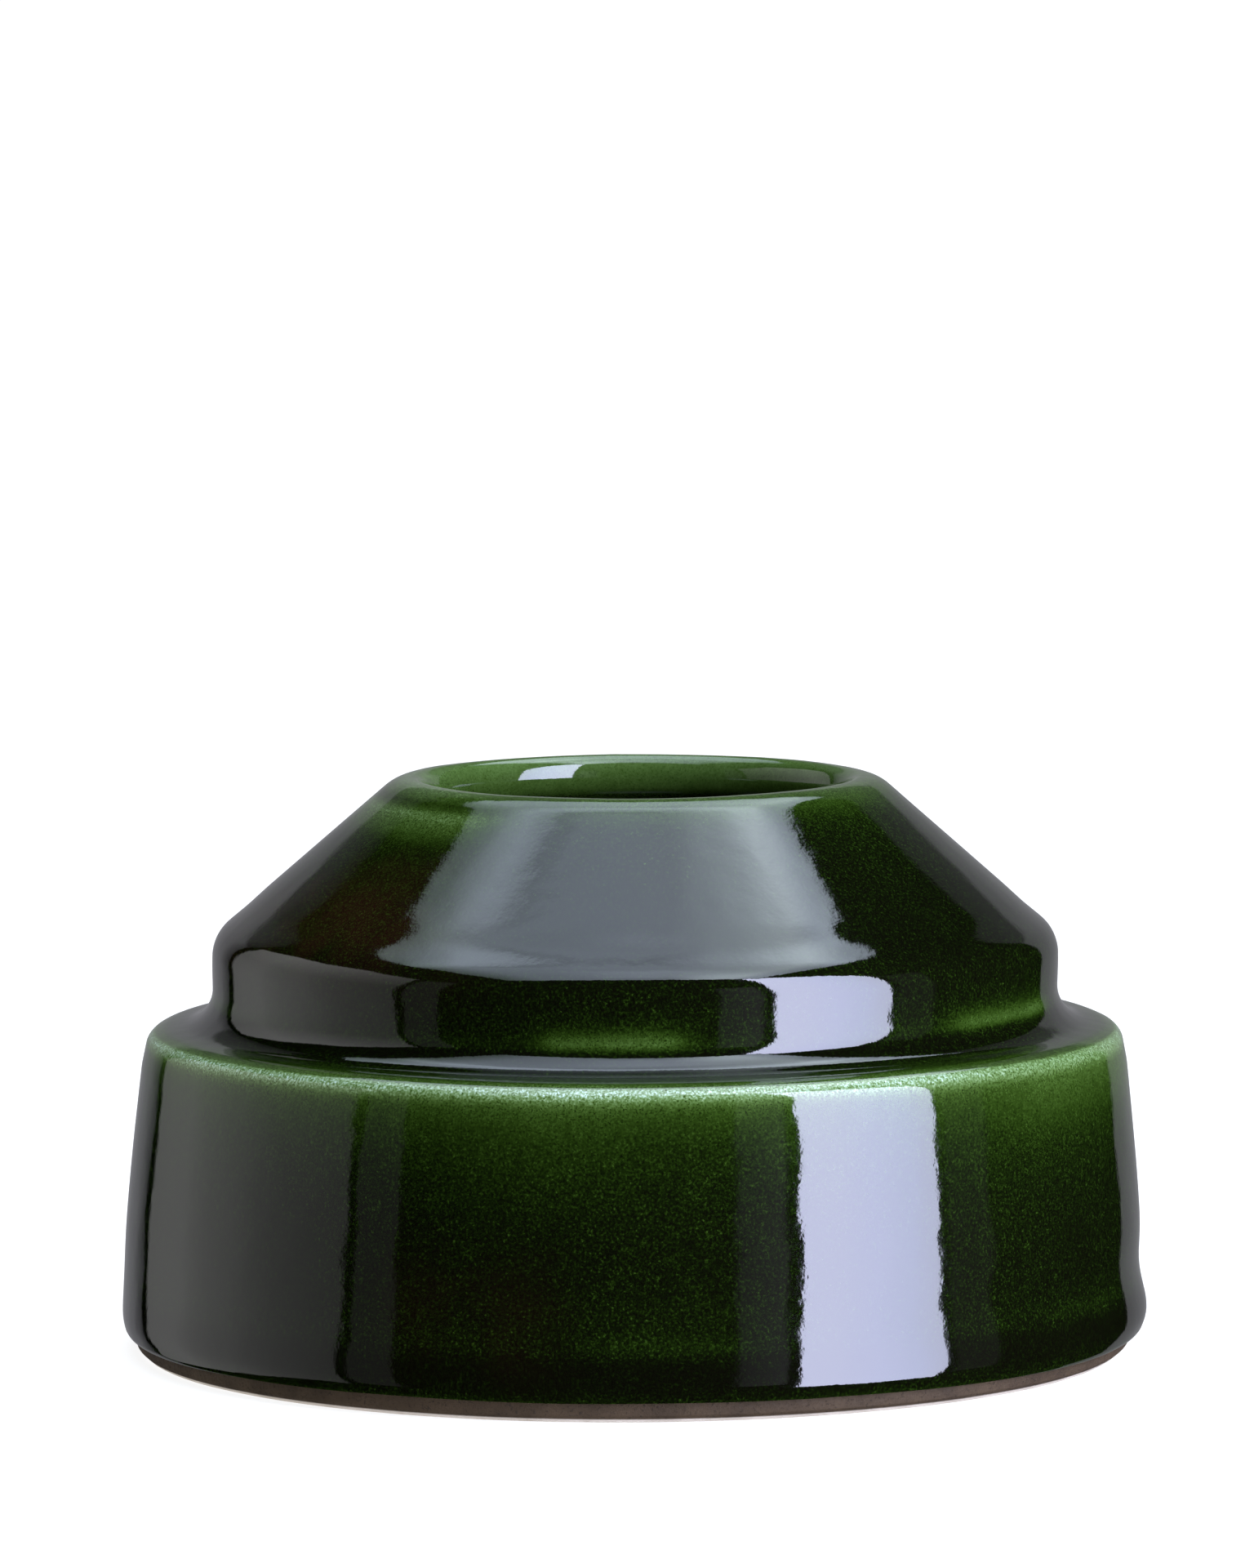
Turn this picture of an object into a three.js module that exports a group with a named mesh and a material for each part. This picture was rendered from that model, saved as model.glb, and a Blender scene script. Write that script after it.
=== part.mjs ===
// Low ceramic inkwell with a wide open mouth, as three layers that a bench would
// tell apart by material: the slip-cast clay body, the dark green glaze coat on
// the outside, and the glaze coat that was poured into the inside.
//
// Millimetres, +Z up, origin on the axis at the level of the foot. The pot is a
// body of revolution: drum wall, sloping ledge, short upright band, cone, and a
// rounded lip. Both coats follow the clay with a small gap so that no two solids
// share volume. The outside coat is a little thicker where glaze pools.

import * as THREE from "three";

// ---- driving dimensions -------------------------------------------------
const SEGMENTS = 48; // facets round the axis
const MAX_RADIUS = 50.0; // glaze roll just above the foot, the widest ring
const TOTAL_HEIGHT = 55.85; // table to top of lip
const GLAZE_LINE_Z = 1.9; // outside coat stops here, bare clay below it
const FOOT_RADIUS = 48.57; // bare clay band
const FOOT_BEVEL = 0.7; // small bevel under the bare band
const FOOT_RING_INNER_RADIUS = 43.6; // inside edge of the ring that stands on the table
const FOOT_RECESS = 1.6; // hollow of the underside inside that ring
const SHOULDER = [47.48, 31.0]; // where the drum wall would meet the ledge
const SHOULDER_FILLET = 1.75;
const LEDGE_MID = [45.9, 31.6]; // the ledge flattens inside this ring
const LEDGE_MID_FILLET = 1.2;
const LEDGE_INNER = [41.12, 32.3]; // where the ledge would meet the upright band
const LEDGE_FILLET = 3.6; // hollow corner, filled out by pooled glaze
const BAND_LOW = [41.25, 37.5];
const BAND_TOP = [41.24, 40.35]; // where the upright band would meet the cone
const BAND_FILLET = 4.1;
const LIP_CORNER = [23.5, 55.85]; // where the cone would meet the level of the lip
const LIP_FILLET = 4.1;
const CREST_RADIUS = 21.92; // highest ring of the lip, where the two coats meet
const LIP_ROLL = 1.43; // radius of the lip's first turn into the mouth
const LIP_WALL = 3.25; // slower curve of the mouth's upright wall
const LIP_UNDER = 1.5; // turn from that wall back under the cone
const FLOOR_Z = 6.6; // glazed floor of the ink chamber
const COAT_GAP = 0.03; // clearance between a coat and the clay under it

// ---- profile helpers (r, z pairs) ---------------------------------------

// Rounds the inner corners of a polyline; fillets[i] belongs to points[i].
function rounded(points, fillets, steps) {
  const out = [points[0]];
  for (let i = 1; i < points.length - 1; i++) {
    const radius = fillets[i] || 0;
    const corner = new THREE.Vector2(...points[i]);
    if (radius === 0) {
      out.push(points[i]);
      continue;
    }
    const toPrev = new THREE.Vector2(...points[i - 1]).sub(corner);
    const toNext = new THREE.Vector2(...points[i + 1]).sub(corner);
    const room = 0.98 * Math.min(toPrev.length(), toNext.length());
    toPrev.normalize();
    toNext.normalize();
    const half = Math.acos(THREE.MathUtils.clamp(toPrev.dot(toNext), -1, 1)) / 2;
    const reach = Math.min(radius / Math.tan(half), room);
    const r = reach * Math.tan(half);
    const centre = toPrev
      .clone()
      .add(toNext)
      .normalize()
      .multiplyScalar(r / Math.sin(half))
      .add(corner);
    const start = toPrev.clone().multiplyScalar(reach).add(corner).sub(centre);
    const end = toNext.clone().multiplyScalar(reach).add(corner).sub(centre);
    const from = start.angle();
    let sweep = end.angle() - from;
    if (sweep > Math.PI) sweep -= 2 * Math.PI;
    if (sweep < -Math.PI) sweep += 2 * Math.PI;
    const n = Math.max(2, Math.round(steps * Math.abs(sweep)));
    for (let k = 0; k <= n; k++) {
      const a = from + (sweep * k) / n;
      out.push([centre.x + r * Math.cos(a), centre.y + r * Math.sin(a)]);
    }
  }
  out.push(points[points.length - 1]);
  return out;
}

// Moves every point of a polyline to its left by its own distance.
function offset(points, distances) {
  return points.map((p, i) => {
    const a = points[Math.max(0, i - 1)];
    const b = points[Math.min(points.length - 1, i + 1)];
    const t = new THREE.Vector2(b[0] - a[0], b[1] - a[1]).normalize();
    return [p[0] - t.y * distances[i], p[1] + t.x * distances[i]];
  });
}

// Arcs that follow one another without a corner, each [radius, fromDeg, toDeg, steps].
function arcs(start, parts) {
  const out = [start];
  for (const [r, from, to, n] of parts) {
    const a0 = THREE.MathUtils.degToRad(from);
    const [x, z] = out[out.length - 1];
    const cx = x - r * Math.cos(a0);
    const cz = z - r * Math.sin(a0);
    for (let k = 1; k <= n; k++) {
      const a = a0 + (THREE.MathUtils.degToRad(to - from) * k) / n;
      out.push([cx + r * Math.cos(a), cz + r * Math.sin(a)]);
    }
  }
  return out;
}

// Linear table lookup, keys rising.
function table(pairs, x) {
  for (let i = 1; i < pairs.length; i++) {
    if (x <= pairs[i][0]) {
      const [x0, y0] = pairs[i - 1];
      const [x1, y1] = pairs[i];
      return y0 + ((y1 - y0) * Math.max(0, x - x0)) / (x1 - x0);
    }
  }
  return pairs[pairs.length - 1][1];
}

// A closed (r, z) outline, counter-clockwise in the r-z half plane, turned into
// a solid of revolution about +Z.
function turned(name, outline, material) {
  const profile = outline.map(([r, z]) => new THREE.Vector2(r, z));
  profile.push(profile[0].clone());
  const geometry = new THREE.LatheGeometry(profile, SEGMENTS);
  geometry.rotateX(Math.PI / 2);
  const mesh = new THREE.Mesh(geometry, material);
  mesh.name = name;
  return mesh;
}

// ---- outside surface of the outside coat, from glaze line to lip crest ----
const drum = [
  [49.2, GLAZE_LINE_Z],
  [49.8, 2.4],
  [MAX_RADIUS, 4.2],
  [49.75, 7.8],
  [49.47, 14.0],
  [48.81, 21.0],
  [48.1, 28.0],
];
const upper = rounded(
  [
    drum[drum.length - 1],
    SHOULDER,
    LEDGE_MID,
    LEDGE_INNER,
    BAND_LOW,
    BAND_TOP,
    LIP_CORNER,
    [CREST_RADIUS, TOTAL_HEIGHT],
  ],
  [0, SHOULDER_FILLET, LEDGE_MID_FILLET, LEDGE_FILLET, 0, BAND_FILLET, LIP_FILLET, 0],
  3.0,
);
const skinOut = [...drum, ...upper.slice(1, -1), [CREST_RADIUS, TOTAL_HEIGHT]].filter(
  (p, i, all) => i === 0 || Math.hypot(p[0] - all[i - 1][0], p[1] - all[i - 1][1]) > 0.05,
);

// Coat thickness by height: thick roll above the foot, thin over the shoulder,
// pooled in the hollow corner of the ledge, thin again over the lip.
const THICKNESS_OUT = [
  [1.9, 0.55],
  [4.2, 0.95],
  [8.5, 0.7],
  [16.0, 0.55],
  [28.0, 0.42],
  [30.9, 0.36],
  [32.1, 0.55],
  [33.4, 0.8],
  [36.0, 0.5],
  [40.0, 0.4],
  [48.0, 0.45],
  [54.0, 0.4],
  [55.85, 0.36],
];
const tOut = skinOut.map((p) => table(THICKNESS_OUT, p[1]));

// Going up the outside, the clay lies to the left of the surface.
const coatOutBack = offset(skinOut, tOut.map((t) => t - COAT_GAP));
coatOutBack[coatOutBack.length - 1][0] = CREST_RADIUS;
coatOutBack[0] = [coatOutBack[0][0], GLAZE_LINE_Z];
const clayOut = offset(skinOut, tOut);
clayOut[clayOut.length - 1][0] = CREST_RADIUS;

// ---- inside surface of the inside coat, from lip crest to the floor -------
// The wall keeps about the same thickness all the way, as a cast wall does.
const lipTurn = arcs([CREST_RADIUS, TOTAL_HEIGHT], [
  [LIP_ROLL, 90, 150, 3],
  [LIP_WALL, 150, 195, 2],
  [LIP_UNDER, 195, 229, 1],
]);
const inner = rounded(
  [
    lipTurn[lipTurn.length - 1],
    [36.9, 38.55], // under the cone
    [36.9, 30.3], // behind the upright band
    [43.9, 27.6], // under the ledge
    [45.1, 15.0], // behind the drum wall
    [45.3, FLOOR_Z],
    [0, FLOOR_Z],
  ],
  [0, 3.0, 3.0, 2.6, 0, 3.6, 0],
  1.9,
);
const skinIn = [...lipTurn, ...inner.slice(1)].filter(
  (p, i, all) => i === 0 || Math.hypot(p[0] - all[i - 1][0], p[1] - all[i - 1][1]) > 0.05,
);
const THICKNESS_IN = [
  [6.6, 0.8],
  [8.0, 0.7],
  [14.0, 0.45],
  [40.0, 0.4],
  [55.85, 0.36],
];
const tIn = skinIn.map((p) => table(THICKNESS_IN, p[1]));
// Going down the inside, the clay again lies to the left of the surface.
const coatInBack = offset(skinIn, tIn.map((t) => t - COAT_GAP));
const clayIn = offset(skinIn, tIn);
for (const line of [coatInBack, clayIn]) {
  line[0][0] = CREST_RADIUS;
  line[line.length - 1][0] = 0;
}

// ---- the three solids ------------------------------------------------------
const clayMaterial = new THREE.MeshStandardMaterial({
  color: 0x7d6a58,
  roughness: 0.85,
  metalness: 0,
});
const outerGlazeMaterial = new THREE.MeshStandardMaterial({
  color: 0x15300f,
  roughness: 0.06,
  metalness: 0,
});
const innerGlazeMaterial = new THREE.MeshStandardMaterial({
  color: 0x2c5a1d,
  roughness: 0.08,
  metalness: 0,
});

// Clay: underside and foot, up the outside, over the lip, down to the floor.
const footOut = [
  [0, FOOT_RECESS],
  [FOOT_RING_INNER_RADIUS - 0.9, FOOT_RECESS],
  [FOOT_RING_INNER_RADIUS - 0.3, FOOT_RECESS - 0.4],
  [FOOT_RING_INNER_RADIUS, 0.3],
  [FOOT_RING_INNER_RADIUS + 0.3, 0],
  [FOOT_RADIUS - 0.8, 0],
  [FOOT_RADIUS, FOOT_BEVEL],
  [FOOT_RADIUS + 0.08, GLAZE_LINE_Z - 0.03],
];
const clay = turned(
  "clay_body",
  [...footOut, ...clayOut.slice(0, -1), ...clayIn],
  clayMaterial,
);

// Outside coat: outer face up, inner face back down.
const outerGlaze = turned(
  "outer_glaze",
  [...skinOut, ...coatOutBack.slice().reverse()],
  outerGlazeMaterial,
);

// Inside coat: from the crest down its free face to the floor's centre, and
// back up along the clay. Its edge at the crest keeps clear of the outer coat.
const shiftIn = (line) =>
  line.map(([r, z], i) => [i === 0 ? r - COAT_GAP : r, z]);
const innerGlaze = turned(
  "inner_glaze",
  [...shiftIn(skinIn), ...shiftIn(coatInBack).slice().reverse()],
  innerGlazeMaterial,
);

const inkwell = new THREE.Group();
inkwell.name = "inkwell";
inkwell.add(clay, outerGlaze, innerGlaze);

export default inkwell;
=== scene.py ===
import math

import bpy
import numpy as np
from mathutils import Matrix, Vector


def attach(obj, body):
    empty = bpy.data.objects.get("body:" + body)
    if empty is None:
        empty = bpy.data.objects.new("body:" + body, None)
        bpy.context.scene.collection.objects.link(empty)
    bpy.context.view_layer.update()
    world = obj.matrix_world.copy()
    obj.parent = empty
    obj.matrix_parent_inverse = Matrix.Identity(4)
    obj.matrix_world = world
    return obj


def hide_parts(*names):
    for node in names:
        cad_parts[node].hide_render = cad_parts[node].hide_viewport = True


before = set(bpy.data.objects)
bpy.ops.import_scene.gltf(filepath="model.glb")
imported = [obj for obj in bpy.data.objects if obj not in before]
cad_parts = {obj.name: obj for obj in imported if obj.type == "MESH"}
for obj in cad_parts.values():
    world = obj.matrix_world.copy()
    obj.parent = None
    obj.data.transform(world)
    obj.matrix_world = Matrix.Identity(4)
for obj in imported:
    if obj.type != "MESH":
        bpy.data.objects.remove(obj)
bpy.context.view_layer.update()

MM = 0.001
scene = bpy.context.scene
rng = np.random.default_rng(20261)

# ---------------------------------------------------------------------------
# Outline of the pot, (radius, height) in millimetres, measured to the surface
# of the glaze. It is the CAD outline with finer fillets.
# ---------------------------------------------------------------------------


def rounded(points, fillets, step_deg=3.0):
    """A polyline with its corners rounded; fillets[i] belongs to points[i]."""
    out = [tuple(points[0])]
    for i in range(1, len(points) - 1):
        r = fillets[i]
        p0, p1, p2 = (np.array(points[k], float) for k in (i - 1, i, i + 1))
        if r <= 0:
            out.append(tuple(p1))
            continue
        a, b = p0 - p1, p2 - p1
        la, lb = np.linalg.norm(a), np.linalg.norm(b)
        a, b = a / la, b / lb
        half = math.acos(max(-1, min(1, float(a @ b)))) / 2
        reach = min(r / math.tan(half), 0.98 * la, 0.98 * lb)
        r = reach * math.tan(half)
        c = p1 + (a + b) / np.linalg.norm(a + b) * (r / math.sin(half))
        s, e = p1 + a * reach - c, p1 + b * reach - c
        f = math.atan2(s[1], s[0])
        sweep = (math.atan2(e[1], e[0]) - f + math.pi) % (2 * math.pi) - math.pi
        n = max(4, int(abs(math.degrees(sweep)) / step_deg))
        for k in range(n + 1):
            q = f + sweep * k / n
            out.append((c[0] + r * math.cos(q), c[1] + r * math.sin(q)))
    out.append(tuple(points[-1]))
    return np.array(out)


def curve_through(z_keys, r_keys, zs):
    """A natural cubic through (z, r) keys."""
    z, r = np.array(z_keys, float), np.array(r_keys, float)
    n = len(z)
    h = np.diff(z)
    A = np.zeros((n, n))
    b = np.zeros(n)
    A[0, 0] = A[-1, -1] = 1
    for i in range(1, n - 1):
        A[i, i - 1], A[i, i], A[i, i + 1] = h[i - 1], 2 * (h[i - 1] + h[i]), h[i]
        b[i] = 6 * ((r[i + 1] - r[i]) / h[i] - (r[i] - r[i - 1]) / h[i - 1])
    m = np.linalg.solve(A, b)
    i = np.clip(np.searchsorted(z, zs) - 1, 0, n - 2)
    t0, t1 = zs - z[i], z[i + 1] - zs
    return (
        (m[i] * t1**3 + m[i + 1] * t0**3) / (6 * h[i])
        + (r[i] / h[i] - m[i] * h[i] / 6) * t1
        + (r[i + 1] / h[i] - m[i + 1] * h[i] / 6) * t0
    )


def resample(line, gap_flat, gap_tight):
    """Points along a polyline, closer together where it bends."""
    d = np.diff(line, axis=0)
    length = np.hypot(d[:, 0], d[:, 1])
    keep = np.r_[True, length > 1e-6]
    line = line[keep]
    d = np.diff(line, axis=0)
    length = np.hypot(d[:, 0], d[:, 1])
    s = np.r_[0, np.cumsum(length)]
    ang = np.unwrap(np.arctan2(d[:, 1], d[:, 0]))
    mid = (s[1:] + s[:-1]) / 2
    fine = np.arange(0, s[-1], 0.02)
    heading = np.interp(fine, mid, ang)
    bend = np.abs(np.gradient(heading, fine))  # radians per mm
    kernel = np.ones(41) / 41
    bend = np.convolve(np.pad(bend, 20, mode="edge"), kernel, mode="valid")
    gap = np.clip(math.radians(4.0) / np.maximum(bend, 1e-6), gap_tight, gap_flat)
    density = np.r_[0, np.cumsum((1 / gap[1:] + 1 / gap[:-1]) / 2 * np.diff(fine))]
    n = int(math.ceil(density[-1])) + 1
    at = np.interp(np.linspace(0, density[-1], n), density, fine)
    at[-1] = s[-1]
    return np.c_[np.interp(at, s, line[:, 0]), np.interp(at, s, line[:, 1])]


GLAZE_Z = 1.9  # glaze line
CREST_R, CREST_Z = 21.92, 55.85
wall_z = [2.25, 3.0, 4.5, 6.0, 8.0, 11.0, 15.0, 20.0, 25.0, 28.0]
wall_r = [49.72, 49.93, 50.0, 49.87, 49.73, 49.62, 49.36, 48.92, 48.4, 48.08]
zs = np.r_[np.arange(2.25, 8, 0.25), np.arange(8, 28.01, 0.8)]
wall = np.c_[curve_through(wall_z, wall_r, zs), zs]
foot_edge = rounded([(48.68, 1.97), (48.95, 1.84), (49.5, 1.9), tuple(wall[0])], [0, 0.25, 0.4, 0], 8)
over = rounded(
    [
        tuple(wall[-1]),
        (47.48, 31.0),
        (45.9, 31.6),
        (41.12, 32.3),
        (41.25, 37.5),
        (41.24, 40.35),
        (23.5, CREST_Z),
        (CREST_R, CREST_Z),
    ],
    [0, 1.75, 1.2, 3.6, 0, 4.1, 4.1, 0],
)


def arcs(start, parts):
    """Arcs that follow one another without a corner, each (radius, from, to, steps) in degrees."""
    out = [start]
    for r, a, b, n in parts:
        x, z = out[-1]
        cx, cz = x - r * math.cos(math.radians(a)), z - r * math.sin(math.radians(a))
        for k in range(1, n + 1):
            q = math.radians(a + (b - a) * k / n)
            out.append((cx + r * math.cos(q), cz + r * math.sin(q)))
    return np.array(out)


turn = arcs((CREST_R, CREST_Z), [(1.43, 90, 150, 26), (3.25, 150, 195, 24), (1.5, 195, 229, 14)])
inside = rounded(
    [
        tuple(turn[-1]),
        (36.9, 38.55),
        (36.9, 30.3),
        (43.9, 27.6),
        (45.1, 15.0),
        (45.3, 6.6),
        (0.0, 6.6),
    ],
    [0, 3.0, 3.0, 2.6, 8.0, 3.6, 0],
)
outer_line = resample(np.vstack([foot_edge, wall[1:], over[1:]]), 0.55, 0.07)
inner_line = resample(np.vstack([turn, inside[1:]]), 1.2, 0.07)
# Rings very close to the crest give the two coats one shared tangent there.
outer_line = np.vstack([outer_line[:-1], [[CREST_R + 0.02, CREST_Z]], [[CREST_R, CREST_Z]]])
inner_line = np.vstack([inner_line[:1], [[CREST_R - 0.02, CREST_Z - 0.0001]], inner_line[1:]])

N_TURN = 384
theta = np.arange(N_TURN) * 2 * math.pi / N_TURN  # from +X towards +Y


def line_normals(line):
    """Unit normals to the right of the direction of travel, which is outwards going up the outside."""
    t = np.gradient(line, axis=0)
    t /= np.linalg.norm(t, axis=1)[:, None]
    return np.c_[t[:, 1], -t[:, 0]]


# ---------------------------------------------------------------------------
# What the hand and the kiln did: the pot leans a little, its wall is not a
# perfect circle, and the glaze lies in slow waves, with a roll above the foot.
# ---------------------------------------------------------------------------
LEAN = 0.0124  # sideways per unit of height


def waves(th, z, seed, count, k_theta, k_z, slope=1.2):
    """Smooth periodic noise over angle and height, about -1 to 1."""
    g = np.random.default_rng(seed)
    out = np.zeros(np.broadcast(th, z).shape)
    total = 0.0
    for _ in range(count):
        kt = int(g.integers(k_theta[0], k_theta[1] + 1))
        kz = g.uniform(*k_z) * (1 if g.random() < 0.5 else -1)
        amp = (k_theta[0] + 1.0) / (kt + 1.0) if slope else 1.0
        out += amp * np.sin(kt * th + kz * z + g.uniform(0, 2 * math.pi))
        total += amp * amp / 2
    return out / math.sqrt(total) / 1.6


def bump_at(x, centre, width):
    return np.exp(-(((x - centre) / width) ** 2))


def angle_from(th, centre_deg):
    """Signed angle in degrees from a direction, -180 to 180."""
    return (np.degrees(th) - centre_deg + 180) % 360 - 180


def surface(line, normals, amount=1.0):
    """Places of the rings of a line, with the hand-made unevenness. Grid (rings, angles, 3) in mm."""
    th = theta[None, :]
    r = line[:, 0][:, None]
    z = line[:, 1][:, None]
    outside = np.clip((r - 15) / 10, 0, 1)
    d = 0.05 * np.cos(2 * th + 0.7) + 0.03 * np.cos(3 * th + 2.0)
    d = d + 0.014 * waves(th, z, 11, 14, (5, 22), (0.05, 0.35))
    d = d + 0.0045 * waves(th, z, 12, 24, (22, 70), (0.1, 0.9))
    # the roll of glaze above the foot, fuller on the +X side
    roll = bump_at(z, 3.9, 2.3)
    side = np.exp(-((angle_from(th, -8) / 45) ** 2))
    d = d + roll * (0.34 * side - 0.10 + 0.07 * waves(th, z * 0, 13, 9, (3, 16), (0, 0)))
    waist = bump_at(z, 8.6, 2.6)
    d = d - waist * 0.22 * side
    # a slight hollow where the cone meets its lower edge
    d = d - 0.07 * bump_at(z, 43.1, 1.2)
    d = d * outside * amount
    nr = normals[:, 0][:, None]
    nz = normals[:, 1][:, None]
    rr = r + nr * d
    zz = z + nz * d
    x = rr * np.cos(th) + LEAN * (zz - 28.0)
    y = rr * np.sin(th)
    return np.stack([x, y, zz + 0 * th], -1)


# ---------------------------------------------------------------------------
# Mesh building
# ---------------------------------------------------------------------------


def grid_piece(name, rings, close_ring=True, centre_first=None, centre_last=None, smooth=True):
    """A closed body from rings of N_TURN points, in mm. rings is (n, N_TURN, 3) and
    wraps from the last ring to the first when close_ring is set."""
    n = len(rings)
    co = rings.reshape(-1, 3) * MM
    j = np.arange(N_TURN)
    jn = (j + 1) % N_TURN
    faces = []
    last = n if close_ring else n - 1
    for i in range(last):
        a, b = i * N_TURN, ((i + 1) % n) * N_TURN
        faces.append(np.stack([a + j, a + jn, b + jn, b + j], 1))
    quads = np.vstack(faces)
    tris = []
    extra = []
    if centre_first is not None:
        k = len(co) + len(extra)
        extra.append(np.array(centre_first) * MM)
        tris.append(np.stack([np.full(N_TURN, k), jn, j], 1))
    if centre_last is not None:
        k = len(co) + len(extra)
        extra.append(np.array(centre_last) * MM)
        a = (n - 1) * N_TURN
        tris.append(np.stack([np.full(N_TURN, k), a + j, a + jn], 1))
    if extra:
        co = np.vstack([co, np.array(extra)])
    mesh = bpy.data.meshes.new(name)
    loops = [quads.reshape(-1)]
    sizes = [np.full(len(quads), 4)]
    for t in tris:
        loops.append(t.reshape(-1))
        sizes.append(np.full(len(t), 3))
    loops = np.concatenate(loops)
    sizes = np.concatenate(sizes)
    mesh.vertices.add(len(co))
    mesh.vertices.foreach_set("co", co.astype(np.float32).reshape(-1))
    mesh.loops.add(len(loops))
    mesh.loops.foreach_set("vertex_index", loops.astype(np.int32))
    mesh.polygons.add(len(sizes))
    starts = np.r_[0, np.cumsum(sizes)[:-1]]
    mesh.polygons.foreach_set("loop_start", starts.astype(np.int32))
    mesh.polygons.foreach_set("loop_total", sizes.astype(np.int32))
    mesh.polygons.foreach_set("use_smooth", np.full(len(sizes), smooth))
    mesh.update(calc_edges=True)
    mesh.validate()
    ob = bpy.data.objects.new(name, mesh)
    scene.collection.objects.link(ob)
    return ob


def sharpen_rings(ob, rings):
    """Marks the edges of these rings sharp."""
    mesh = ob.data
    ev = np.empty(len(mesh.edges) * 2, np.int32)
    mesh.edges.foreach_get("vertices", ev)
    ev = ev.reshape(-1, 2)
    ring = ev // N_TURN
    same = ring[:, 0] == ring[:, 1]
    hit = same & np.isin(ring[:, 0], list(rings))
    at = mesh.attributes.get("sharp_edge") or mesh.attributes.new("sharp_edge", "BOOLEAN", "EDGE")
    at.data.foreach_set("value", hit)


def point_attribute(ob, name, values):
    at = ob.data.attributes.new(name, "FLOAT", "POINT")
    v = np.full(len(ob.data.vertices), values[-1], np.float32)  # the pole points too
    v[: len(values)] = values
    at.data.foreach_set("value", v)


# Depth of the glaze in mm, by place along the outside and the inside.
def depth_outside(line):
    keys = [1.9, 2.6, 4.2, 8.0, 16.0, 28.0, 30.9, 32.4, 33.5, 36.0, 40.0, 48.0, 54.0, 55.9]
    vals = [0.45, 0.85, 0.95, 0.7, 0.55, 0.42, 0.34, 0.5, 0.75, 0.5, 0.4, 0.45, 0.4, 0.36]
    return np.interp(line[:, 1], keys, vals)


def depth_inside(line):
    return np.interp(line[:, 1], [6.6, 8.0, 14.0, 40.0, 55.9], [0.8, 0.7, 0.45, 0.4, 0.36])


o_norm = line_normals(outer_line)
i_norm = line_normals(inner_line)
o_norm[-1] = (0, 1)
o_norm[-2] = (0, 1)
i_norm[0] = (0, 1)
o_rings = surface(outer_line, o_norm)
i_rings = surface(inner_line, i_norm)
i_rings[0] = o_rings[-1]  # one crest for both coats


def back_of(line, normals, depth, rings, every):
    """The face of a coat that lies on the clay, a little coarser, from the far end back."""
    pick = np.unique(np.r_[np.arange(0, len(line), every), len(line) - 1])
    inner = line - normals * depth[:, None]
    shift = surface(np.c_[inner[:, 0], inner[:, 1]], normals)
    return shift[pick][::-1], pick


o_depth = depth_outside(outer_line)
i_depth = depth_inside(inner_line)
o_back, _ = back_of(outer_line, o_norm, o_depth, o_rings, 6)
i_back, _ = back_of(inner_line, i_norm, i_depth, i_rings, 6)

outer = grid_piece("glaze_outside", np.vstack([o_rings, o_back]))
sharpen_rings(outer, [0, len(o_rings) - 1, len(o_rings), len(o_rings) + len(o_back) - 1])
inner_top = i_rings[:-1]
inner_back = i_back[1:]
inner = grid_piece(
    "glaze_inside",
    np.vstack([inner_back, inner_top]),
    close_ring=False,
    centre_first=(i_back[0][0][0], 0, i_back[0][0][2]),
    centre_last=(i_rings[-1][0][0], 0, i_rings[-1][0][2]),
)
sharpen_rings(inner, [len(inner_back) - 1, len(inner_back)])

# The clay: a turned foot and a pot wall that the two coats cover.
under = [(0.0, 1.6)]
for r in np.arange(1.0, 42.4, 0.4):
    under.append((r, 1.6 + 0.035 * math.sin(r * 2.6) + 0.02 * math.sin(r * 6.1 + 1)))
ring = rounded(
    [under[-1], (43.2, 1.45), (43.75, 0.12), (44.3, 0.0), (47.75, 0.0), (48.5, 0.66), (48.6, 1.2), (48.62, 1.95)],
    [0, 0.5, 0.25, 0.2, 0.35, 0.22, 0, 0],
    12,
)
clay_foot = resample(np.vstack([under, ring[1:]]), 0.45, 0.06)
o_under = (outer_line - o_norm * (o_depth[:, None] + 0.02))[4:]
i_under = (inner_line - i_norm * (i_depth[:, None] + 0.02))[:-1]
o_under = o_under[:: 4]
i_under = i_under[6 :: 4]
clay_line = np.vstack([clay_foot[1:], o_under, i_under])
clay_rings = surface(clay_line, line_normals(clay_line))
low = clay_line[:, 1] < 0.01
clay_rings[low, :, 2] = 0.0
clay_rings[..., 2] = np.maximum(clay_rings[..., 2], 0.0)
clay = grid_piece(
    "clay_pot",
    clay_rings,
    close_ring=False,
    centre_first=(LEAN * -26.4, 0, 1.6),
    centre_last=(LEAN * -21.4, 0, float(i_under[-1][1])),
)
sharpen_rings(clay, [len(clay_foot) - 2])

# ---------------------------------------------------------------------------
# How much of the light each spot of glaze takes away: thick glaze is nearly
# black, thin glaze on an edge shows the pale ground under it.
# ---------------------------------------------------------------------------


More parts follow.
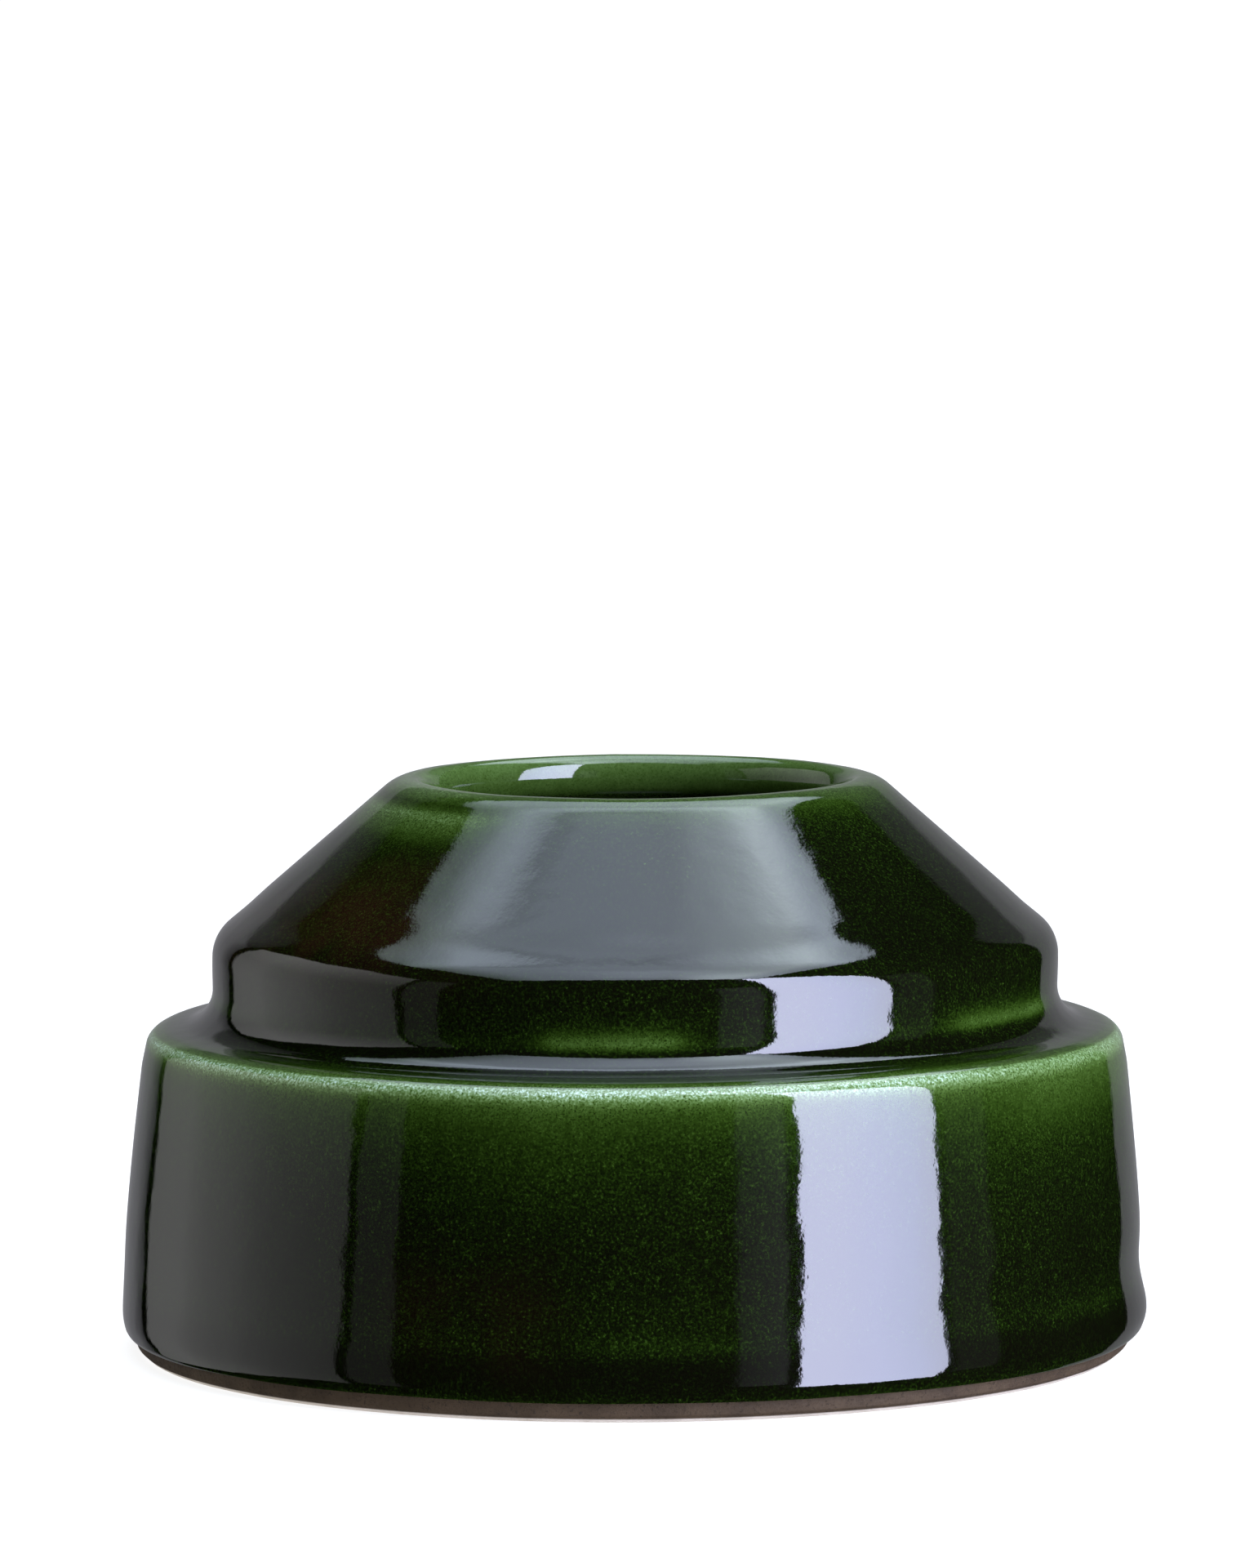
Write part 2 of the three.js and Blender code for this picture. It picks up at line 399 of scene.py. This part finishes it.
DEPTH_BY_HEIGHT = np.array(
    [
        (1.8, 3.2), (2.0, 4.4), (2.4, 5.4), (3.0, 6.0), (4.0, 6.6), (5.0, 6.6), (6.0, 6.0), (7.0, 5.2), (8.0, 5.2),
        (10.0, 5.4), (12.0, 5.45), (14.0, 5.4), (16.0, 5.2), (18.0, 5.0), (20.0, 4.75), (22.0, 4.45), (24.0, 4.1),
        (26.0, 3.72), (27.0, 3.5), (28.0, 3.25), (29.0, 2.87), (29.5, 2.6), (29.8, 2.2), (30.1, 1.65), (30.5, 1.15),
        (30.9, 0.85), (31.15, 1.1), (31.3, 2.2), (31.5, 2.4), (31.75, 3.6), (32.2, 5.2), (33.0, 5.6), (33.6, 5.3),
        (33.9, 4.2), (34.2, 3.0), (34.6, 2.45), (35.0, 2.55), (35.5, 3.1), (36.0, 3.9), (37.0, 4.8), (38.0, 5.3),
        (40.0, 5.5), (42.0, 5.8), (46.0, 5.7), (50.0, 5.2), (52.0, 5.0), (53.0, 4.55), (54.0, 3.75), (55.0, 3.0),
        (55.4, 2.75), (55.85, 2.2),
    ]
)


def facing(th, centre, half_width, soft):
    """1 within half_width degrees of a direction, where 0 is the front (-Y) and 90 is +X, falling off softly."""
    off = np.abs(angle_from(th, centre - 90))
    return 1 - smooth(off, half_width - soft / 2, half_width + soft / 2)


def smooth(x, a, b):
    t = np.clip((x - a) / (b - a), 0, 1)
    return t * t * (3 - 2 * t)


def strength_outside(line):
    z = line[:, 1][:, None] + 0 * theta[None, :]
    th = theta[None, :] + 0 * z
    t = np.interp(z, DEPTH_BY_HEIGHT[:, 0], DEPTH_BY_HEIGHT[:, 1])
    # a paler line above the roll, in places
    t = t - 0.75 * bump_at(z, 7.2, 1.1) * np.clip(facing(th, 4, 9, 8) + 0.8 * facing(th, 62, 10, 9) + 0.7 * facing(th, 150, 16, 12) + 0.6 * facing(th, -120, 18, 12), 0, 1)
    t = t - 0.3 * bump_at(z, 10, 3) * facing(th, 4, 12, 10)
    # pale patches low on the band, with dark glaze between them
    patches = np.clip(
        facing(th, -3, 10, 7) + facing(th, 60, 14, 9) + 0.8 * facing(th, 112, 16, 12) + facing(th, 170, 13, 9) + 0.8 * facing(th, -140, 12, 9) + 0.8 * facing(th, -85, 14, 10),
        0,
        1,
    )
    t = t + 1.9 * bump_at(z, 34.9, 1.5) * (1 - patches)
    # the left flank of the cone carries a thinner coat
    left = facing(th, -66, 36, 26)
    t = t - 0.9 * left * smooth(z, 40.5, 43) * (1 - smooth(z, 50.5, 52.5))
    t = t - 2.3 * left * smooth(z, 50.5, 52.5) * (1 - smooth(z, 53.6, 54.8))
    t = t - 0.5 * facing(th, -80, 40, 30) * smooth(z, 54.4, 55.2)
    # the right shoulder: dark line on the edge, paler wall under it
    t = t - 0.45 * bump_at(z, 27.2, 2.6) * facing(th, 72, 24, 24) + 0.5 * bump_at(z, 30.95, 0.75) * facing(th, 70, 24, 22)
    t = t + 0.5 * facing(th, -35, 14, 12) * bump_at(z, 18, 6)
    t = t + 0.14 * waves(th, z, 31, 12, (3, 12), (0.05, 0.3))
    return t


def red_reflection_outside(line):
    """A reddish tint: on the left flank of the cone a painted reflection of something reddish, and a fainter reddish
    patch low on the front-left of the wall.
    """
    z = line[:, 1][:, None] + 0 * theta[None, :]
    th = theta[None, :] + 0 * z
    return np.clip(facing(th, -60, 30, 34) * bump_at(z, 44.5, 5.5) + 0.2 * facing(th, -19, 10, 12) * bump_at(z, 10, 6), 0, 1)


t_out = strength_outside(outer_line)
point_attribute(outer, "strength", t_out.reshape(-1))
# painted reddish reflection on the cone's left flank, kept per point
point_attribute(outer, "red_reflection", red_reflection_outside(outer_line).reshape(-1))
t_in = np.interp(inner_line[:, 1], [6.6, 8.0, 14.0, 40.0, 50.0, 54.0, 55.4, 55.9], [5.6, 5.0, 4.2, 3.9, 2.9, 2.2, 1.9, 2.0])[:, None] + 0 * theta[None, :]
full = np.zeros((len(inner_back) + len(inner_top), N_TURN))
full[len(inner_back):] = t_in[:-1]
full[: len(inner_back)] = 4.0
point_attribute(inner, "strength", full.reshape(-1))
point_attribute(inner, "red_reflection", 0 * full.reshape(-1))


class Nodes:
    """Small helper for building a node tree."""

    def __init__(self, tree):
        self.tree = tree
        tree.nodes.clear()

    def add(self, kind, **props):
        n = self.tree.nodes.new(kind)
        for k, v in props.items():
            setattr(n, k, v)
        return n

    def link(self, a, b):
        self.tree.links.new(a, b)

    def value(self, socket, v):
        if hasattr(v, "is_output"):
            self.link(v, socket)
        else:
            socket.default_value = v

    def math(self, op, a, b=0.0, clamp=False):
        n = self.add("ShaderNodeMath", operation=op, use_clamp=clamp)
        self.value(n.inputs[0], a)
        self.value(n.inputs[1], b)
        return n.outputs[0]

    def noise(self, vec, scale, detail=2.0, rough=0.5, distortion=0.0):
        n = self.add("ShaderNodeTexNoise", noise_dimensions="3D")
        self.link(vec, n.inputs["Vector"])
        n.inputs["Scale"].default_value = scale
        n.inputs["Detail"].default_value = detail
        n.inputs["Roughness"].default_value = rough
        n.inputs["Distortion"].default_value = distortion
        return n.outputs["Fac"]

    def span(self, v, a, b, c, d, smooth=False):
        n = self.add("ShaderNodeMapRange", clamp=True)
        if smooth:
            n.interpolation_type = "SMOOTHSTEP"
        self.link(v, n.inputs["Value"])
        for k, x in zip(("From Min", "From Max", "To Min", "To Max"), (a, b, c, d)):
            n.inputs[k].default_value = x
        return n.outputs["Result"]

    def combine(self, r, g, b):
        n = self.add("ShaderNodeCombineColor")
        for s, v in zip(n.inputs, (r, g, b)):
            self.value(s, v)
        return n.outputs["Color"]

    def mix(self, fac, a, b, kind="MIX"):
        n = self.add("ShaderNodeMix", data_type="RGBA", blend_type=kind)
        self.value(n.inputs[0], fac)
        self.value(n.inputs[6], a)
        self.value(n.inputs[7], b)
        return n.outputs[2]


def millimetres(t):
    co = t.add("ShaderNodeTexCoord")
    m = t.add("ShaderNodeMapping")
    m.inputs["Scale"].default_value = (1000, 1000, 1000)
    t.link(co.outputs["Object"], m.inputs["Vector"])
    return m.outputs["Vector"]


GROUND = (0.53, 0.655, 0.73)
TINT = (0.28, 0.345, 0.15)
DARKEST = (0.0014, 0.0013, 0.0006)
# colour of the painted reddish reflection on the cone's left flank
RED_REFLECTION = (0.0078, 0.0014, 0.0012)


def glaze_material(name, dots=1.0):
    mat = bpy.data.materials.new(name)
    mat.use_nodes = True
    t = Nodes(mat.node_tree)
    mm = millimetres(t)
    strength = t.add("ShaderNodeAttribute", attribute_name="strength", attribute_type="GEOMETRY").outputs["Fac"]
    cloud = t.noise(mm, 0.11, 3.0, 0.55)
    blotch = t.noise(mm, 0.9, 3.0, 0.6)
    grain = t.noise(mm, 4.0, 2.0, 0.6)
    a = t.span(cloud, 0.3, 0.7, -0.04, 0.04)
    b = t.span(blotch, 0.3, 0.7, -0.05, 0.05)
    k = t.math("ADD", t.math("ADD", a, b), 1.0)
    # specks: fine and dark on the thin edges, a broad mottle where the glaze is thick
    more = t.math("ADD", t.span(strength, 1.0, 2.4, 1.0, 0.55), t.span(strength, 3.2, 5.4, 0.0, 2.4))
    c = t.math("MULTIPLY", t.span(grain, 0.25, 0.75, -0.72, 0.8), more)
    fleck = t.span(t.noise(mm, 6.0, 1.5, 0.55), 0.57, 0.7, 0.0, 1.0)
    c = t.math("MULTIPLY", t.math("ADD", c, fleck), dots)
    depth = t.math("MAXIMUM", t.math("ADD", t.math("MULTIPLY", strength, k), c), 0.2)
    # A painted reddish reflection on the cone's left flank, broken up by the cloud noise.
    red_reflection = t.add("ShaderNodeAttribute", attribute_name="red_reflection", attribute_type="GEOMETRY").outputs["Fac"]
    red_reflection = t.math("MULTIPLY", red_reflection, t.span(cloud, 0.42, 0.62, 0.3, 1.0))
    rgb = []
    for i in range(3):
        seen = t.math("MULTIPLY", t.math("POWER", TINT[i], depth), GROUND[i])
        low = t.math("ADD", t.math("MULTIPLY", red_reflection, RED_REFLECTION[i]), DARKEST[i])
        rgb.append(t.math("ADD", seen, low))
    colour = t.combine(*rgb)
    bsdf = t.add("ShaderNodeBsdfPrincipled")
    t.link(colour, bsdf.inputs["Base Color"])
    bsdf.inputs["IOR"].default_value = 1.5
    rough = t.span(t.noise(mm, 0.6, 2.0, 0.6), 0.35, 0.7, 0.03, 0.06)
    t.link(rough, bsdf.inputs["Roughness"])
    fine = t.math(
        "ADD",
        t.math("ADD", t.math("MULTIPLY", t.noise(mm, 0.5, 0.0), 10.0), t.math("MULTIPLY", t.noise(mm, 1.7, 1.0), 4.0)),
        t.math("MULTIPLY", t.noise(mm, 4.5, 1.0), 1.3),
    )
    bump = t.add("ShaderNodeBump")
    bump.inputs["Strength"].default_value = 1.0
    bump.inputs["Distance"].default_value = 0.000001
    t.link(fine, bump.inputs["Height"])
    t.link(bump.outputs["Normal"], bsdf.inputs["Normal"])
    out = t.add("ShaderNodeOutputMaterial")
    t.link(bsdf.outputs["BSDF"], out.inputs["Surface"])
    return mat


def clay_material(name):
    mat = bpy.data.materials.new(name)
    mat.use_nodes = True
    t = Nodes(mat.node_tree)
    mm = millimetres(t)
    cloud = t.noise(mm, 0.25, 4.0, 0.6)
    grain = t.noise(mm, 3.0, 3.0, 0.7)
    pale = t.span(cloud, 0.3, 0.7, 0.0, 1.0)
    # The band's dark brown: a brown residue on the clay, made darker still as painted shade where the foot gets little
    # light.
    colour = t.mix(pale, (0.036, 0.0235, 0.0125, 1), (0.06, 0.04, 0.022, 1))
    speck = t.span(grain, 0.56, 0.66, 0.0, 0.7)
    colour = t.mix(speck, colour, (0.016, 0.012, 0.008, 1))
    sepa = t.add("ShaderNodeSeparateXYZ")
    t.link(mm, sepa.inputs[0])
    # the foot is wiped and worn pale where it turns under, showing the buff clay; the dark brown above it is a brown
    # residue darkened further as painted shade
    wiped = t.span(sepa.outputs["Z"], 0.22, 0.42, 1.0, 0.0, smooth=True)
    colour = t.mix(wiped, colour, t.mix(pale, (0.42, 0.37, 0.31, 1), (0.55, 0.50, 0.44, 1)))
    bsdf = t.add("ShaderNodeBsdfPrincipled")
    t.link(colour, bsdf.inputs["Base Color"])
    t.link(t.span(grain, 0.3, 0.7, 0.62, 0.85), bsdf.inputs["Roughness"])
    bsdf.inputs["IOR"].default_value = 1.45
    bsdf.inputs["Specular IOR Level"].default_value = 0.22
    bump = t.add("ShaderNodeBump")
    bump.inputs["Strength"].default_value = 1.0
    bump.inputs["Distance"].default_value = 0.00006
    t.link(grain, bump.inputs["Height"])
    t.link(bump.outputs["Normal"], bsdf.inputs["Normal"])
    out = t.add("ShaderNodeOutputMaterial")
    t.link(bsdf.outputs["BSDF"], out.inputs["Surface"])
    return mat


outer.data.materials.append(glaze_material("green_glaze_outside", 1.22))
inner.data.materials.append(glaze_material("green_glaze_inside", 0.4))
clay.data.materials.append(clay_material("fired_clay"))

for piece, node, slot in (
    (outer, "outer_glaze", "green_glaze_outside"),
    (inner, "inner_glaze", "green_glaze_inside"),
    (clay, "clay_body", "fired_clay"),
):
    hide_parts(node)
    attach(piece, "root")

# ---------------------------------------------------------------------------
# Studio: light panels, a pale floor and the camera.
# ---------------------------------------------------------------------------


def emitter(name, places, light):
    """A grid of points (rows, columns, 3) in metres that gives off light (rows, columns, 3)."""
    rows, cols = places.shape[:2]
    idx = np.arange(rows * cols).reshape(rows, cols)
    quads = np.stack([idx[:-1, :-1], idx[:-1, 1:], idx[1:, 1:], idx[1:, :-1]], -1).reshape(-1, 4)
    mesh = bpy.data.meshes.new(name)
    mesh.from_pydata(places.reshape(-1, 3).tolist(), [], quads.tolist())
    col = mesh.attributes.new("light", "FLOAT_COLOR", "POINT")
    rgba = np.ones((rows * cols, 4), np.float32)
    rgba[:, :3] = light.reshape(-1, 3)
    col.data.foreach_set("color", rgba.reshape(-1))
    mat = bpy.data.materials.new(name)
    mat.use_nodes = True
    t = Nodes(mat.node_tree)
    at = t.add("ShaderNodeAttribute", attribute_name="light", attribute_type="GEOMETRY")
    em = t.add("ShaderNodeEmission")
    t.link(at.outputs["Color"], em.inputs["Color"])
    em.inputs["Strength"].default_value = 1.0
    out = t.add("ShaderNodeOutputMaterial")
    t.link(em.outputs[0], out.inputs["Surface"])
    mat.cycles.emission_sampling = "FRONT_BACK"
    mesh.materials.append(mat)
    ob = bpy.data.objects.new(name, mesh)
    scene.collection.objects.link(ob)
    ob.visible_camera = False
    ob.visible_shadow = False
    ob.visible_transmission = False
    return ob


def side_panel(name, az, el_low, el_top, light, reach, rows=40, cols=48, soft_side=0.5, soft_top=1.0):
    """An upright curved panel round the pot. az in degrees from the front (-Y) towards +X, el up from the pot's middle."""
    a = np.linspace(az[0], az[1], cols)[None, :]
    v = np.linspace(0, 1, rows)[:, None]
    top = el_top(a) if callable(el_top) else el_top + 0 * a
    e = el_low + (top - el_low) * v
    ar, er = np.radians(a + 0 * e), np.radians(e)
    places = np.stack([reach * np.sin(ar), -reach * np.cos(ar), 0.02 + reach * np.tan(er)], -1)
    edge = smooth(a - az[0], 0, soft_side) * smooth(az[1] - a, 0, soft_side) * smooth(top - e, 0, soft_top)
    return emitter(name, places, light(a + 0 * e, e) * edge[..., None])


def along(x, keys, colours):
    colours = np.array(colours, float)
    return np.stack([np.interp(x, keys, colours[:, i]) for i in range(3)], -1)


side_panel(
    "strip_light",
    (36.4, 70.9),
    -24,
    lambda a: np.interp(a, [36, 47, 61, 69, 70.9], [52, 50, 44, 38, 30]),
    lambda a, e: along(a, [36, 45, 54, 63, 71], [(13.4, 14, 19), (13, 13.6, 18.6), (12.2, 12.9, 18.2), (11, 11.8, 16.6), (10, 10.5, 14)]),
    0.9,
    rows=60,
    cols=60,
)
side_panel("dim_panel_near", (21, 34.3), -18, 30, lambda a, e: along(a, [21, 28, 34.3], [(0.16, 0.16, 0.18), (0.28, 0.28, 0.31), (0.36, 0.36, 0.4)]), 0.95, 24, 24, 2.0)
side_panel("dim_panel_far", (72.4, 86.5), -18, 30, lambda a, e: 0.1 * np.ones(a.shape + (3,)), 0.95, 24, 24, 2.0)
side_panel(
    "grey_card_left",
    (-139.0, -65.2),
    -27,
    lambda a: np.interp(a, [-139, -125, -100, -90, -65.2], [26, 34, 39, 40, 36]),
    lambda a, e: (
        np.interp(a, [-141, -136, -120, -100, -86, -70, -66], [0.4, 0.42, 0.76, 0.76, 0.58, 0.45, 0.42])
        + np.interp(e, [15, 39], [0.0, 0.42])
    )[..., None]
    * np.ones(3),
    0.8,
    40,
    60,
)
side_panel("weak_strip_left", (-63.3, -52.5), -25, 35, lambda a, e: 0.15 * np.ones(a.shape + (3,)), 0.8, 24, 24)
side_panel(
    "backdrop_behind",
    (143, 217),
    -34,
    52,
    lambda a, e: along(a, [143, 208, 217], [(0.27, 0.27, 0.29), (0.27, 0.27, 0.29), (0.1, 0.1, 0.11)])
    * np.interp(e, [18, 20, 52], [1.0, 0.38, 0.2])[..., None],
    1.4,
    90,
    60,
)

H = 1.0
gx = np.linspace(-0.65, 0.59, 70)[None, :] + 0 * np.zeros((90, 1))
gy = np.linspace(-0.68, 1.22, 90)[:, None] + 0 * np.zeros((1, 70))
places = np.stack([gx * H, gy * H, 0.045 + H + 0 * gx], -1)
level = along(
    gx,
    [-0.68, -0.6, -0.42, -0.1, 0.1, 0.35, 0.42, 0.52, 0.64],
    [(0.9, 1.1, 1.1), (1.1, 1.4, 1.4), (2.3, 2.7, 3.2), (2.7, 3.1, 3.8), (2.9, 3.3, 4.0), (4.3, 5.0, 5.6), (4.6, 5.3, 5.9), (3.2, 3.7, 4.4), (2.8, 3.2, 3.8)],
)
back = np.interp(gy, [0.5, 0.75, 1.0, 1.22], [1.0, 0.78, 0.55, 0.3])[..., None]
fold = 1 - 0.3 * (bump_at(gy + 0.12 * gx, 0.05, 0.02) * smooth(gx, -0.5, -0.3) * (1 - smooth(gx, 0.0, 0.2)))[..., None]
front_right = 1 + 0.45 * (smooth(-gy, 0.1, 0.5) * smooth(gx, 0.1, 0.35))[..., None]
corner = smooth(1.02 - gy + 1.2 * (gx + 0.35), 0, 0.08)
hot = 1 + 0.3 * (bump_at(gx, 0.05, 0.22) * smooth(-gy, 0.03, 0.14) * (1 - smooth(-gy, 0.45, 0.6)))[..., None]
edge = corner[..., None] * (
    smooth(gx + 0.65, 0, 0.025) * smooth(0.59 - gx, 0, 0.025) * smooth(gy + 0.68, 0, 0.03) * smooth(1.22 - gy, 0, 0.25)
)[..., None]
band = 1 + 0.55 * bump_at(gy, 0.2, 0.1)[..., None]
emitter("overhead_panel", places, 0.94 * level * back * band * fold * hot * front_right * edge)

# floor
floor_mesh = bpy.data.meshes.new("floor")
S = 30.0
floor_mesh.from_pydata([(-S, -S, 0), (S, -S, 0), (S, S, 0), (-S, S, 0)], [], [(0, 1, 2, 3)])
floor = bpy.data.objects.new("floor", floor_mesh)
scene.collection.objects.link(floor)
fmat = bpy.data.materials.new("floor")
fmat.use_nodes = True
t = Nodes(fmat.node_tree)
em = t.add("ShaderNodeEmission")
co = t.add("ShaderNodeTexCoord")
far = t.add("ShaderNodeVectorMath", operation="LENGTH")
t.link(co.outputs["Object"], far.inputs[0])
# The floor glows a little less near the pot than far off: a faint painted shade round the pot, with the diffuse part
# adding the real contact shadow.
t.link(t.span(far.outputs["Value"], 0.06, 1.5, 0.88, 1.0, smooth=True), em.inputs["Strength"])
em.inputs["Color"].default_value = (1, 1, 1, 1)
di = t.add("ShaderNodeBsdfDiffuse")
di.inputs["Color"].default_value = (0.2, 0.2, 0.2, 1)
ad = t.add("ShaderNodeAddShader")
t.link(em.outputs[0], ad.inputs[0])
t.link(di.outputs[0], ad.inputs[1])
out = t.add("ShaderNodeOutputMaterial")
t.link(ad.outputs[0], out.inputs["Surface"])
fmat.cycles.emission_sampling = "NONE"
floor_mesh.materials.append(fmat)
floor.visible_glossy = False
floor.visible_shadow = False

world = bpy.data.worlds.new("studio")
scene.world = world
world.use_nodes = True
bg = world.node_tree.nodes.get("Background") or world.node_tree.nodes.new("ShaderNodeBackground")
bg.inputs["Color"].default_value = (1, 1, 1, 1)
bg.inputs["Strength"].default_value = 0.25
world.cycles_visibility.glossy = False

# camera
a, p, roll = -0.000641, 0.0986915, math.radians(-0.28159)
fw = Vector((math.sin(a) * math.cos(p), math.cos(a) * math.cos(p), -math.sin(p)))
ri = Vector((math.cos(a), -math.sin(a), 0))
dn = fw.cross(ri)
R2 = ri * math.cos(roll) - dn * math.sin(roll)
D2 = ri * math.sin(roll) + dn * math.cos(roll)
cam_data = bpy.data.cameras.new("camera")
cam_data.lens = 222.06
cam_data.sensor_width = 36
cam_data.sensor_fit = "AUTO"
cam_data.clip_start = 0.01
cam_data.clip_end = 200
cam = bpy.data.objects.new("camera", cam_data)
scene.collection.objects.link(cam)
U, B = -D2, -fw
cam.matrix_world = Matrix(
    (
        (R2.x, U.x, B.x, 0.0),
        (R2.y, U.y, B.y, -0.93841),
        (R2.z, U.z, B.z, 0.14796),
        (0, 0, 0, 1),
    )
)
scene.camera = cam
scene.view_settings.view_transform = "Standard"
scene.view_settings.look = "None"

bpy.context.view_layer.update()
